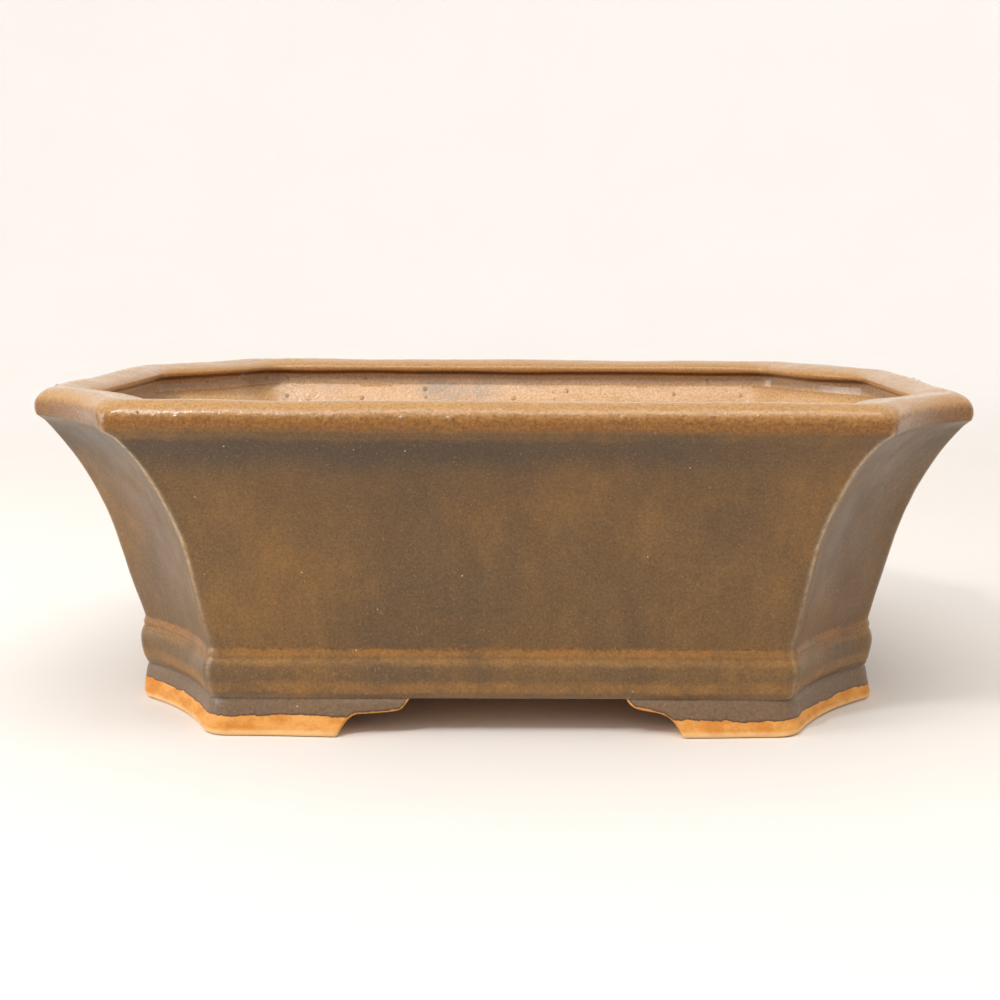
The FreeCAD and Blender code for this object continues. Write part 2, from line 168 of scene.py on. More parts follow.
def make_profile():
    """The whole clay profile as (inset, height) points, and where its joints fall."""
    lean = np.array([-math.sin(WALL_LEAN), math.cos(WALL_LEAN)])
    into_clay = np.array([math.cos(WALL_LEAN), math.sin(WALL_LEAN)])
    foot = np.array([WALL_FOOT_INSET, BAND_TOP])
    waist = foot + lean * (WALL_WAIST - BAND_TOP) / math.cos(WALL_LEAN)
    flare_centre = waist - FLARE_RADIUS * into_clay
    top_angle = math.asin((WALL_TOP - flare_centre[1]) / FLARE_RADIUS)
    inner_radius = FLARE_RADIUS + WALL_THICKNESS
    inner_top_angle = math.asin((RIM_JOINT - flare_centre[1]) / inner_radius)
    bead_centre = np.array([BEAD_RADIUS, POT_HEIGHT - BEAD_RADIUS])
    bead_start = math.pi + math.asin((bead_centre[1] - WALL_TOP) / BEAD_RADIUS)
    inner_top = flare_centre + inner_radius * np.array(
        [math.cos(inner_top_angle), math.sin(inner_top_angle)])
    inner_waist = waist + WALL_THICKNESS * into_clay
    inner_foot = np.array([INNER_FOOT_INSET, BAND_TOP])

    band = curve_through(
        [(WALL_FOOT_INSET + 0.15, FOOT_TOP), (WALL_FOOT_INSET - 0.45, FOOT_TOP + 1.6),
         (WALL_FOOT_INSET - 0.85, FOOT_TOP + 4.2), (WALL_FOOT_INSET - 1.0, FOOT_TOP + 6.6),
         (WALL_FOOT_INSET - 0.7, FOOT_TOP + 8.4), (WALL_FOOT_INSET - 0.25, FOOT_TOP + 9.5),
         (WALL_FOOT_INSET - 0.35, FOOT_TOP + 10.4), (WALL_FOOT_INSET, BAND_TOP)], 30)
    flare = arc(flare_centre, FLARE_RADIUS, WALL_LEAN, top_angle, 36)
    crease = bead_centre[0] + BEAD_RADIUS * math.cos(bead_start)
    overshoot = crease - (flare_centre[0] + FLARE_RADIUS * math.cos(top_angle))
    flare[:, 0] += overshoot * np.linspace(0.0, 1.0, len(flare)) ** 3
    wall = np.vstack([run(foot, waist, 20), flare])
    bead = arc(bead_centre, BEAD_RADIUS, bead_start, math.pi / 2, 26)
    lip = curve_through(
        [(BEAD_RADIUS, POT_HEIGHT), (BEAD_RADIUS + 2.6, POT_HEIGHT - 0.3),
         (LIP_INSET - 1.2, POT_HEIGHT - 1.0), (LIP_INSET - 0.05, POT_HEIGHT - 2.0),
         (LIP_INSET - 0.3, POT_HEIGHT - 3.1), (LIP_INSET - 1.7, POT_HEIGHT - 3.7),
         (inner_top[0] - 0.3, POT_HEIGHT - 5.0), tuple(inner_top)], 34)
    inner_wall = np.vstack([
        arc(flare_centre, inner_radius, inner_top_angle, WALL_LEAN, 34),
        run(inner_waist, inner_foot, 14),
    ])
    inner_band = run(inner_foot, (INNER_FOOT_INSET, FOOT_TOP), 6)
    end = np.array([[INNER_FOOT_INSET, FOOT_TOP]])
    parts = [band, wall, bead, lip, inner_wall, inner_band, end]
    joints = np.cumsum([0] + [len(part) for part in parts])
    return np.vstack(parts), joints


PROFILE, (_, BAND_JOINT, OUTER_JOINT, CREST, INNER_JOINT, INNER_BAND_JOINT, LAST, _) = make_profile()
GIRTH = np.concatenate([[0.0], np.cumsum(np.linalg.norm(np.diff(PROFILE, axis=0), axis=1))])
G_BAND = GIRTH[BAND_JOINT]
G_RIM = GIRTH[OUTER_JOINT]
G_CREST = GIRTH[CREST]
G_LIP = GIRTH[INNER_JOINT]
G_FLOOR = GIRTH[INNER_BAND_JOINT]


# ---------------------------------------------------------------- the outline seen from above

def nose_slopes():
    """How far each nose's rounding reaches along its side, per millimetre of nose radius."""
    slope_x, slope_y = 0.71, 0.51
    for _ in range(20):
        cut_x = CORNER_RUN_X - SCOOP_JOINT_RADIUS * slope_x
        cut_y = CORNER_RUN_Y - SCOOP_JOINT_RADIUS * slope_y
        bearing = math.atan2(cut_y, cut_x)
        half_turn = math.asin(math.hypot(cut_x, cut_y) / (2 * SCOOP_RADIUS))
        slope_x = math.tan((bearing + half_turn) / 2)
        slope_y = math.tan((math.pi / 2 - bearing + half_turn) / 2)
    return slope_x, slope_y


NOSE_SLOPE_X, NOSE_SLOPE_Y = nose_slopes()
CUT_RATIO = (CORNER_RUN_Y - SCOOP_JOINT_RADIUS * NOSE_SLOPE_Y) / (
    CORNER_RUN_X - SCOOP_JOINT_RADIUS * NOSE_SLOPE_X)


def turn(centre, radius, start, end, count):
    """Points on the shorter arc about a centre, end left out."""
    first = math.atan2(*(start - centre)[::-1])
    last = math.atan2(*(end - centre)[::-1])
    last = first + (last - first + math.pi) % (2 * math.pi) - math.pi
    angles = np.linspace(first, last, count, endpoint=False)
    return centre + radius * np.stack([np.cos(angles), np.sin(angles)], 1)


def corner_path(nose, counts=(3, 9, 42, 9, 3), run_x=CORNER_RUN_X, run_y=CORNER_RUN_Y):
    """Plan of one corner, as distances (along, inwards) from the rectangle's own corner.

    A nose is (radius, cut): its rounding and how far along the long side its sharp tip would be.
    The path starts on the long side, goes round the nose, the scoop and the other nose, and ends
    on the short side. The first and the last stretch are straight.
    """
    nose_radius, cut = nose
    start = np.array([-min(cut + nose_radius * NOSE_SLOPE_X, run_x), 0.0])
    end = np.array([0.0, min(cut * CUT_RATIO + nose_radius * NOSE_SLOPE_Y, run_y)])
    long_centre = start + (0.0, nose_radius)
    short_centre = end - (nose_radius, 0.0)
    between = short_centre - long_centre
    distance = np.linalg.norm(between)
    outwards = np.array([between[1], -between[0]]) / distance
    reach = SCOOP_RADIUS + nose_radius
    scoop_centre = (long_centre + short_centre) / 2
    scoop_centre = scoop_centre + outwards * math.sqrt(reach ** 2 - (distance / 2) ** 2)
    long_touch = long_centre + (scoop_centre - long_centre) * nose_radius / reach
    short_touch = short_centre + (scoop_centre - short_centre) * nose_radius / reach
    return np.vstack([
        run((-run_x, 0.0), start, counts[0]),
        turn(long_centre, nose_radius, start, long_touch, counts[1]),
        turn(scoop_centre, SCOOP_RADIUS, long_touch, short_touch, counts[2]),
        turn(short_centre, nose_radius, short_touch, end, counts[3]),
        run(end, (0.0, run_y), counts[4]),
        [[0.0, run_y]],
    ])


JOINT_NOSE = (SCOOP_JOINT_RADIUS, CORNER_RUN_X - SCOOP_JOINT_RADIUS * NOSE_SLOPE_X)


def blend(first, second, share):
    """Mix two noses; the share is held between 0 and 1."""
    share = float(np.clip(share, 0.0, 1.0))
    return tuple(a + (b - a) * share for a, b in zip(first, second))


def nose_at(girth, height):
    """The noses are crisp under the rim, softer towards the band and broad over the crest.

    Down the inside they come back to the figure of the CAD's floor, which they must meet.
    """
    if girth > G_CREST:
        return blend(CREST_NOSE, JOINT_NOSE, (girth - G_LIP) / (G_FLOOR - G_LIP))
    if height > WALL_TOP:
        return blend(RIM_NOSE, CREST_NOSE, (height - WALL_TOP - 2.0) / (POT_HEIGHT - WALL_TOP - 2.0))
    wall = blend(WALL_NOSE_FOOT, WALL_NOSE_TOP, (height - BAND_TOP) / (WALL_TOP - 8.0 - BAND_TOP))
    return blend(wall, RIM_NOSE, (height - WALL_TOP + 1.6) / 1.6)


def corner_panel(signs, profile, counts):
    """Grid of points over one corner: first index round the corner, second along the profile."""
    sign_x, sign_y = signs
    columns = []
    for (inset, height), girth in zip(profile, GIRTH):
        path = corner_path(nose_at(girth, height), counts)
        x = sign_x * (HALF_LENGTH + path[:, 0] - inset)
        y = sign_y * (HALF_WIDTH - path[:, 1] - inset)
        columns.append(np.stack([x, y, np.full(len(path), height)], 1))
    return np.stack(columns, 1)


def side_panel(side, profile, spacing):
    """Grid of points over one straight side, between the two mitres."""
    sign_x, sign_y = SIDES[side]
    long_side = sign_x == 0
    reach = HALF_LENGTH - CORNER_RUN_X if long_side else HALF_WIDTH - CORNER_RUN_Y
    count = int(2 * reach / spacing) + 1
    share = np.linspace(-1.0, 1.0, count)
    inset = profile[:, 0]
    along = share[:, None] * (reach - inset)[None, :]
    height = np.broadcast_to(profile[:, 1], along.shape)
    if long_side:
        across = np.broadcast_to(sign_y * (HALF_WIDTH - inset), along.shape)
        return np.stack([along, across, height], 2)
    across = np.broadcast_to(sign_x * (HALF_LENGTH - inset), along.shape)
    return np.stack([across, along, height], 2)


# ---------------------------------------------------------------- the hand of the potter

# Each kind of unevenness as (wavelength, amplitude, number of waves), in millimetres.
UNEVENNESS = ((9.0, 0.10, 8), (4.0, 0.035, 10), (1.6, 0.012, 12))
DEEPEST_WOBBLE = 0.45
SETTLING = 0.0075
WAVES = [
    (rng.normal(size=3) / wavelength, rng.uniform(0, 2 * math.pi), amplitude)
    for wavelength, amplitude, repeats in UNEVENNESS
    for _ in range(repeats)
]


def hand_wobble(points):
    """Slight unevenness of hand-pressed clay, in millimetres."""
    total = np.zeros(points.shape[:-1])
    for direction, phase, amplitude in WAVES:
        total += amplitude * np.sin(points @ direction + phase)
    return np.clip(total / 2, -DEEPEST_WOBBLE, DEEPEST_WOBBLE)


def grid_normals(grid):
    """Unit normals of a grid of points, pointing out of the clay."""
    along = np.gradient(grid, axis=0)
    across = np.gradient(grid, axis=1)
    normals = np.cross(along, across)
    length = np.linalg.norm(normals, axis=2, keepdims=True)
    normals = normals / np.maximum(length, 1e-9)
    probe = (grid.shape[0] // 2, min(BAND_JOINT // 2, grid.shape[1] - 1))
    outwards = grid[probe] * (1.0, 1.0, 0.0)
    if normals[probe] @ outwards < 0:
        normals = -normals
    return normals


def pimple_height(points, spots):
    """How far the pimples at those (x, y, z, radius, height) lift each point."""
    total = np.zeros(points.shape[:-1])
    for x, y, z, radius, height in spots:
        distance = np.linalg.norm(points - (x, y, z), axis=-1)
        total = np.maximum(total, height * np.exp(-(distance / radius) ** 2 * 1.6))
    return total


def rim_pimples():
    """Pimples sit on the rim's outer roll, a few on each side."""
    spots = []
    generator = np.random.default_rng(5)
    for side, (sign_x, sign_y) in SIDES.items():
        amount = 14 if sign_x == 0 else 8
        reach = (HALF_LENGTH - CORNER_RUN_X if sign_x == 0 else HALF_WIDTH - CORNER_RUN_Y) - 6.0
        for _ in range(amount):
            along = generator.uniform(-reach, reach)
            angle = generator.uniform(math.radians(100), math.radians(165))
            inset = BEAD_RADIUS + BEAD_RADIUS * math.cos(angle)
            height = POT_HEIGHT - BEAD_RADIUS + BEAD_RADIUS * math.sin(angle)
            radius = generator.uniform(0.35, 0.7)
            if sign_x == 0:
                place = (along, sign_y * (HALF_WIDTH - inset), height)
            else:
                place = (sign_x * (HALF_LENGTH - inset), along, height)
            spots.append((*place, radius, radius * generator.uniform(0.4, 0.8)))
    return spots


RIM_PIMPLES = rim_pimples()


# ---------------------------------------------------------------- meshes

def nose_tips(profile):
    """Plan position of the two nose tips of a corner for every point of the profile."""
    tips = []
    for (inset, height), girth in zip(profile, GIRTH):
        path = corner_path(nose_at(girth, height), (1, 2, 1, 2, 1))
        tips.append([(HALF_LENGTH + along - inset, HALF_WIDTH - inwards - inset)
                     for along, inwards in (path[2], path[5])])
    return np.array(tips)


NOSE_TIPS = nose_tips(PROFILE)


NOSE_LINE_WIDTH = 0.8


def nose_closeness(grid):
    """1 on the line of a nose, falling to 0 within about two millimetres of it."""
    plan = np.abs(grid[:, :, :2])
    best = np.zeros(grid.shape[:2])
    for tip in (0, 1):
        distance = np.linalg.norm(plan - NOSE_TIPS[None, :, tip], axis=2)
        best = np.maximum(best, np.exp(-(distance / NOSE_LINE_WIDTH) ** 2))
    return best


def settle(points):
    """The fired pot isn't quite level: its top stands lower towards the right.

    No point may leave the outer sizes of the CAD.
    """
    sinking = SETTLING * (1.0 + points[..., 0] / HALF_LENGTH)
    settled = points.copy()
    settled[..., 2] *= 1.0 - sinking
    return np.clip(settled, BOX_LOW, BOX_HIGH)


SHARP_ANGLE = math.radians(50)


def finish_object(name, vertices, faces, attributes):
    """Make one smooth-shaded closed mesh object from points in millimetres."""
    mesh = bpy.data.meshes.new(name)
    mesh.from_pydata((vertices * MM).tolist(), [], faces)
    for attribute, values in attributes.items():
        layer = mesh.attributes.new(attribute, "FLOAT", "POINT")
        layer.data.foreach_set("value", np.asarray(values, np.float32))
    mesh.validate()
    work = bmesh.new()
    work.from_mesh(mesh)
    bmesh.ops.recalc_face_normals(work, faces=work.faces)
    for face in work.faces:
        face.smooth = True
        is_end_cap = len(face.verts) > 4
        if is_end_cap:
            for edge in face.edges:
                edge.smooth = False
    for edge in work.edges:
        if len(edge.link_faces) == 2 and edge.calc_face_angle(0.0) > SHARP_ANGLE:
            edge.smooth = False
    work.to_mesh(mesh)
    work.free()
    piece = bpy.data.objects.new(name, mesh)
    bpy.context.scene.collection.objects.link(piece)
    return piece


def tube_faces(columns, rows):
    """Quads of a closed tube with end caps; the section has that many rows."""
    faces = []
    for column in range(columns - 1):
        base = column * rows
        for row in range(rows):
            following = (row + 1) % rows
            faces.append((base + row, base + following, base + rows + following, base + rows + row))
    faces.append(tuple(range(rows)))
    faces.append(tuple(reversed(range((columns - 1) * rows, columns * rows))))
    return faces


# "bare" is the height in millimetres by which a point lies below the line where the glaze stops.
FULLY_GLAZED = -9.0
FULLY_BARE = 5.0


def strip_rows(course):
    """Which points of the profile make the section of a course, in order round it."""
    if course == "band":
        return list(range(0, BAND_JOINT + 1)) + list(range(INNER_BAND_JOINT, LAST + 1))
    if course == "wall":
        return (list(range(BAND_JOINT, OUTER_JOINT + 1))
                + list(range(INNER_JOINT, INNER_BAND_JOINT + 1)))
    return list(range(OUTER_JOINT, INNER_JOINT + 1))


def make_strip(course, node, grid):
    """Cut one course out of a panel and make it a piece that stands for its CAD node."""
    normals = grid_normals(grid)
    lift = hand_wobble(grid)
    if course == "rim":
        lift = lift + pimple_height(grid, RIM_PIMPLES)
    edge_calm = np.ones(len(PROFILE))
    edge_calm[:2] = 0.0  # the bottom edge of the band stays on the feet
    edge_calm[INNER_BAND_JOINT:] = 0.0  # the inside of the band stays against the floor
    moved = settle(grid + normals * (lift * edge_calm[None, :])[:, :, None])
    closeness = nose_closeness(grid)
    rows = strip_rows(course)
    columns = grid.shape[0]
    vertices = moved[:, rows].reshape(-1, 3)
    girth = np.broadcast_to(GIRTH[rows], (columns, len(rows))).reshape(-1)
    attributes = {
        "girth": girth,
        "nose": closeness[:, rows].reshape(-1),
        "bare": np.full(len(vertices), FULLY_GLAZED),
    }
    piece = finish_object(f"{node}_clay", vertices, tube_faces(columns, len(rows)), attributes)
    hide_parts(node)
    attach(piece, "root")
    return piece


# Each course: names of its side and corner pieces, spacing of points along a side, and the number
# of points on the five stretches of a corner (straight, nose, scoop, nose, straight).
COURSES = {
    "band": ("band_{}", "band_corner_{}", 1.3, (2, 8, 34, 8, 2)),
    "wall": ("wall_{}", "corner_{}", 1.1, (3, 9, 42, 9, 3)),
    "rim": ("rim_{}", "rim_corner_{}", 0.5, (4, 10, 80, 10, 4)),
}


def make_body_pieces():
    """Every side and corner piece of the band, the wall and the rim."""
    pieces = []
    for course, (side_name, corner_name, spacing, counts) in COURSES.items():
        for side in SIDES:
            grid = side_panel(side, PROFILE, spacing)
            pieces.append(make_strip(course, side_name.format(side), grid))
        for corner, signs in CORNERS.items():
            grid = corner_panel(signs, PROFILE, counts)
            pieces.append(make_strip(course, corner_name.format(corner), grid))
    return pieces


# ---------------------------------------------------------------- feet

FOOT_ROWS = 14  # points down the outer face of a foot
LONG_END_STATIONS = 110
SHORT_END_STATIONS = 26
THINNEST_TIP = 0.4  # height of clay left at the tip of a foot
TOE_CENTRE = 14.0  # from the tip to the middle of the toe
BARE_EDGE = 0.7  # the lowest part of a foot is always wiped bare


def foot_end_outline(stretch):
    """Lower edge of a foot's end, as (distance from its tip, height): lobe, step, hollow, toe.

    A stretched step moves the hollow and the toe along, and sags slightly.
    """
    sag = 0.12 * stretch
    return curve_through(
        [(0.0, FOOT_TOP), (0.5, FOOT_TOP - 1.1), (1.8, FOOT_TOP - 2.2 - sag),
         (3.6, FOOT_TOP - 2.8 - sag), (5.3 + 0.3 * stretch, FOOT_TOP - 3.1 - sag),
         (7.0 + 0.8 * stretch, FOOT_TOP - 3.4 - sag), (9.0 + stretch, FOOT_TOP - 4.1),
         (10.8 + stretch, FOOT_TOP - 5.4), (12.1 + stretch, FOOT_TOP - 7.1),
         (12.9 + stretch, 0.5), (13.6 + stretch, 0.0), (15.0 + stretch, 0.0)], 60)


def foot_low_edge(x, y, outline, tip_x):
    """Height of a foot's lower edge at a place in plan, given as distances from the centre."""
    along_x = np.interp(x - tip_x, outline[:, 0], outline[:, 1], right=0.0)
    along_y = np.interp(y - FOOT_END_Y, outline[:, 0], outline[:, 1], right=0.0)
    return max(along_x, along_y)


def foot_stations(tip_x, straight_to):
    """Places round a foot: (plan position before insetting, how the inset acts in x and in y)."""
    radius, cut = FOOT_NOSE
    run_x = cut + radius * NOSE_SLOPE_X
    run_y = cut * CUT_RATIO + radius * NOSE_SLOPE_Y
    plan = corner_path(FOOT_NOSE, (1, 14, 40, 14, 1), run_x, run_y)
    stations = []
    start = HALF_LENGTH - run_x - WALL_FOOT_INSET
    for x in np.linspace(tip_x, start, LONG_END_STATIONS, endpoint=False):
        share = max(0.0, (x - straight_to) / (start - straight_to))
        stations.append((x + share * WALL_FOOT_INSET, HALF_WIDTH, share, 1.0))
    for along, inwards in plan:
        stations.append((HALF_LENGTH + along, HALF_WIDTH - inwards, 1.0, 1.0))
    start = HALF_WIDTH - run_y - WALL_FOOT_INSET
    for y in np.linspace(start, FOOT_END_Y, SHORT_END_STATIONS)[1:]:
        share = (y - FOOT_END_Y) / (start - FOOT_END_Y)
        stations.append((HALF_LENGTH, y + share * WALL_FOOT_INSET, 1.0, share))
    return stations


def glaze_line(x, y):
    """Height where the glaze stops: higher on the left of the pot than on the right."""
    share = np.clip((x / HALF_LENGTH + 1) / 2, 0.0, 1.0)
    return 5.3 - 1.6 * share + 0.25 * np.sin(x * 0.21 + y * 0.13)


def foot_section(low, flare):
    """Section of a foot as (inset, height, is outer face), down the outside and up the inside."""
    bevel = min(FOOT_BEVEL, (FOOT_TOP - low) * 0.3)
    section = []
    for share in np.linspace(0.0, 1.0, FOOT_ROWS):
        height = FOOT_TOP + (low + bevel - FOOT_TOP) * share
        drop = (FOOT_TOP - height) / FOOT_TOP
        seam_groove = 0.45 * math.exp(-(drop / 0.10) ** 2)
        section.append((WALL_FOOT_INSET + seam_groove - flare * drop ** 1.2, height, True))
    toe_inset = section[-1][0]
    for angle in (18, 36, 54, 72, 90):
        swing = math.radians(angle)
        section.append((toe_inset + bevel * (1 - math.cos(swing)),
                        low + bevel * (1 - math.sin(swing)), True))
    inner_inset = WALL_FOOT_INSET - FOOT_FLARE + FOOT_THICKNESS
    section.append((inner_inset - bevel, low, False))
    section.append((inner_inset - bevel * 0.3, low + bevel * 0.3, False))
    section.append((inner_inset, low + bevel, False))
    section.append((inner_inset, (low + bevel + FOOT_TOP) / 2, False))
    section.append((inner_inset, FOOT_TOP, False))
    return section


def foot_points(corner, stations, outline):
    """Points of a foot, station by station, with how far each lies below the glaze line."""
    sign_x, sign_y = CORNERS[corner]
    tip_x = FOOT_END_X[corner]
    vertices = []
    bares = []
    for x, y, toward_x, toward_y in stations:
        place_x = x - WALL_FOOT_INSET * toward_x
        place_y = y - WALL_FOOT_INSET * toward_y
        low = min(foot_low_edge(place_x, place_y, outline, tip_x), FOOT_TOP - THINNEST_TIP)
        toe_closeness = math.exp(-((place_x - tip_x) / TOE_CENTRE - 1.0) ** 2)
        for inset, height, outer in foot_section(low, FOOT_FLARE + TOE_FLARE * toe_closeness):
            point_x = sign_x * (x - inset * toward_x)
            point_y = sign_y * (y - inset * toward_y)
            vertices.append((point_x, point_y, height))
            below_line = glaze_line(point_x, point_y) - height
            bares.append(max(below_line, low + BARE_EDGE - height) if outer else FULLY_BARE)
    return vertices, bares


def make_foot(corner):
    """One cloud foot: sections swept from one end, round the corner, to the other end."""
    outline = foot_end_outline(STEP_STRETCH[corner])
    tip_x = FOOT_END_X[corner]
    stations = foot_stations(tip_x, tip_x + outline[-1, 0])
    vertices, bares = foot_points(corner, stations, outline)
    columns = len(stations)
    rows = len(vertices) // columns
    grid = np.array(vertices).reshape(columns, rows, 3)
    normals = grid_normals(grid)
    # no wobble on the table or at the joint with the band, and little on the inner side
    calm = 0.6 * np.clip(grid[:, :, 2] / 2.0, 0.0, 1.0) * (grid[:, :, 2] < FOOT_TOP - 0.01)
    calm[:, FOOT_ROWS:] *= 0.3
    grid = settle(grid + normals * (hand_wobble(grid) * calm)[:, :, None])
    attributes = {
        "girth": grid[:, :, 2].reshape(-1) - FOOT_TOP,
        "nose": np.zeros(len(vertices)),
        "bare": np.array(bares),
    }
    node = f"foot_{corner}"
    piece = finish_object(f"{node}_clay", grid.reshape(-1, 3), tube_faces(columns, rows), attributes)
    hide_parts(node)
    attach(piece, "root")
    return piece


body_pieces = make_body_pieces()
feet = [make_foot(corner) for corner in CORNERS]


# ---------------------------------------------------------------- materials

# Places of the colour sockets on a Mix node, which also has numbers and vectors.
MIX_FIRST = 6
MIX_SECOND = 7
MIX_RESULT = 2


class Graph:
    """Short calls for building a node material."""

    def __init__(self, name):
        self.material = bpy.data.materials.new(name)
        self.material.use_nodes = True
        self.tree = self.material.node_tree
        self.shader = self.tree.nodes["Principled BSDF"]
        coordinates = self.tree.nodes.new("ShaderNodeTexCoord")
        self.place = coordinates.outputs["Object"]

    def connect(self, source, socket):
        """Link an output to a socket, or set the socket to a plain value."""
        if isinstance(source, bpy.types.NodeSocket):
            self.tree.links.new(source, socket)
        else:
            socket.default_value = source

    def attribute(self, name):
        """A number stored on every point of the mesh."""
        node = self.tree.nodes.new("ShaderNodeAttribute")
        node.attribute_name = name
        return node.outputs["Fac"]

    def maths(self, operation, first, second=0.0, clamp=False):
        """One arithmetic step on numbers or sockets."""
        node = self.tree.nodes.new("ShaderNodeMath")
        node.operation = operation
        node.use_clamp = clamp
        self.connect(first, node.inputs[0])
        self.connect(second, node.inputs[1])
        return node.outputs[0]

    def between(self, value, low, high, to_low=0.0, to_high=1.0):
        """Smooth ramp of a value from one range to another."""
        node = self.tree.nodes.new("ShaderNodeMapRange")
        node.interpolation_type = "SMOOTHSTEP"
        self.connect(value, node.inputs["Value"])
        node.inputs["From Min"].default_value = low
        node.inputs["From Max"].default_value = high
        node.inputs["To Min"].default_value = to_low
        node.inputs["To Max"].default_value = to_high
        return node.outputs["Result"]

    def hump(self, value, start, peak_start, peak_end, end):
        """1 between the two peaks, falling to 0 at the start and the end."""
        rise = self.between(value, start, peak_start)
        fall = self.between(value, peak_end, end, 1.0, 0.0)
        return self.maths("MULTIPLY", rise, fall)

    def noise(self, scale, detail=3.0, roughness=0.55, stretch=(1, 1, 1), shift=(0, 0, 0)):
        """Cloudy noise in the piece's own space, from 0 to 1; scale is in features per metre."""
        mapping = self.tree.nodes.new("ShaderNodeMapping")
        self.connect(self.place, mapping.inputs["Vector"])
        mapping.inputs["Scale"].default_value = stretch
        mapping.inputs["Location"].default_value = shift
        node = self.tree.nodes.new("ShaderNodeTexNoise")
        self.connect(mapping.outputs[0], node.inputs["Vector"])
        node.inputs["Scale"].default_value = scale
        node.inputs["Detail"].default_value = detail
        node.inputs["Roughness"].default_value = roughness
        return node.outputs["Fac"]

    def spots(self, scale, size, rarity, shift=(0, 0, 0)):
        """Round dots: 1 in the middle of a dot. Rarity is the share of cells left empty."""
        mapping = self.tree.nodes.new("ShaderNodeMapping")
        self.connect(self.place, mapping.inputs["Vector"])
        mapping.inputs["Location"].default_value = shift
        node = self.tree.nodes.new("ShaderNodeTexVoronoi")
        self.connect(mapping.outputs[0], node.inputs["Vector"])
        node.inputs["Scale"].default_value = scale
        dot = self.between(node.outputs["Distance"], 0.0, size, 1.0, 0.0)
        split = self.tree.nodes.new("ShaderNodeSeparateColor")
        self.connect(node.outputs["Color"], split.inputs[0])
        chosen = self.maths("GREATER_THAN", split.outputs[0], rarity)
        return self.maths("MULTIPLY", dot, chosen)

    def ragged(self, value, scale, detail, reach, roughness=0.55):
        """Make the edge of a zone wander: the value, moved by up to half the reach either way."""
        wander = self.maths("SUBTRACT", self.noise(scale, detail, roughness), 0.5)
        return self.maths("ADD", value, self.maths("MULTIPLY", wander, reach))

    def mix(self, share, first, second):
        """Blend two colours; a share of 1 gives the second."""
        node = self.tree.nodes.new("ShaderNodeMix")
        node.data_type = "RGBA"
        self.connect(share, node.inputs["Factor"])
        for colour, socket in ((first, MIX_FIRST), (second, MIX_SECOND)):
            if not isinstance(colour, bpy.types.NodeSocket):
                colour = (*colour, 1.0)
            self.connect(colour, node.inputs[socket])
        return node.outputs[MIX_RESULT]

    def tint(self, colour, zone, strength, tint):
        """Lay a tint over a colour where the zone is 1; the strength is a number or a socket."""
        return self.mix(self.maths("MULTIPLY", zone, strength), colour, tint)

    def shade(self, colour, factor):
        """Multiply a colour by a number."""
        node = self.tree.nodes.new("ShaderNodeVectorMath")
        node.operation = "SCALE"
        self.connect(colour, node.inputs[0])
        self.connect(factor, node.inputs["Scale"])
        return node.outputs[0]

    def axis(self, index):
        """The x, y or z coordinate (0, 1 or 2), in metres."""
        node = self.tree.nodes.new("ShaderNodeSeparateXYZ")
        self.connect(self.place, node.inputs[0])
        return node.outputs[index]

    def bump(self, height, distance, strength=1.0):
        """Shade fine relief; distance is in metres for a height of 1."""
        node = self.tree.nodes.new("ShaderNodeBump")
        node.inputs["Strength"].default_value = strength
        node.inputs["Distance"].default_value = distance
        self.connect(height, node.inputs["Height"])
        self.connect(node.outputs[0], self.shader.inputs["Normal"])


def srgb(red, green, blue):
    """A display colour (0 to 255) as linear numbers."""
    return tuple(
        channel / 12.92 if channel <= 0.04045 else ((channel + 0.055) / 1.055) ** 2.4
        for channel in (red / 255, green / 255, blue / 255)
    )


GLAZE_WARM = srgb(128, 91, 42)
GLAZE_MID = srgb(106, 78, 42)
GLAZE_COOL = srgb(90, 69, 44)
GLAZE_GREY = srgb(72, 59, 46)
RIM_OCHRE = srgb(176, 134, 84)
RIM_AMBER = srgb(132, 85, 28)
RIM_RUST = srgb(96, 58, 22)
BAND_ORANGE = srgb(146, 98, 38)
# ochre of the band's bulge, also painted in its groove as a highlight
BAND_OCHRE = srgb(148, 106, 54)
# tan of the front left panel, partly its own tone, partly painted light
PANEL_TAN_AND_LIT = srgb(166, 124, 72)
FOOT_GREY = srgb(110, 88, 68)
# pale colour painted along the noses and the crest as their highlights
PAINTED_HIGHLIGHT_PALE = srgb(196, 172, 138)
INNER_OCHRE = srgb(198, 158, 112)
INNER_GREY = srgb(156, 138, 118)
# dark colour painted under the inner lip as its shadow
PAINTED_LIP_SHADOW = srgb(44, 32, 24)
CLAY_ORANGE = srgb(214, 152, 78)
CLAY_FLASH = srgb(196, 126, 48)
CLAY_CREAM = srgb(240, 200, 142)
GLAZE_EDGE = srgb(84, 54, 34)
PINHOLE_DARK = srgb(58, 44, 32)
SPECK_PALE = srgb(214, 196, 164)


def clay_colour(graph):
    """Bare stoneware, toasted orange in patches and cream where the edge was wiped."""
    patches = graph.between(graph.noise(160, 5, 0.6, (1, 1, 1.8)), 0.38, 0.64)
    colour = graph.mix(patches, CLAY_ORANGE, CLAY_FLASH)
    grit = graph.noise(1800, 3, 0.7)
    colour = graph.shade(colour, graph.between(grit, 0.25, 0.75, 0.9, 1.08))
    height = graph.axis(2)
    wobble = graph.maths("MULTIPLY", graph.noise(300, 2), 0.0009)
    edge = graph.between(graph.maths("ADD", height, wobble), 0.0010, 0.0026, 1.0, 0.0)
    return graph.mix(graph.maths("MULTIPLY", edge, 0.85), colour, CLAY_CREAM)


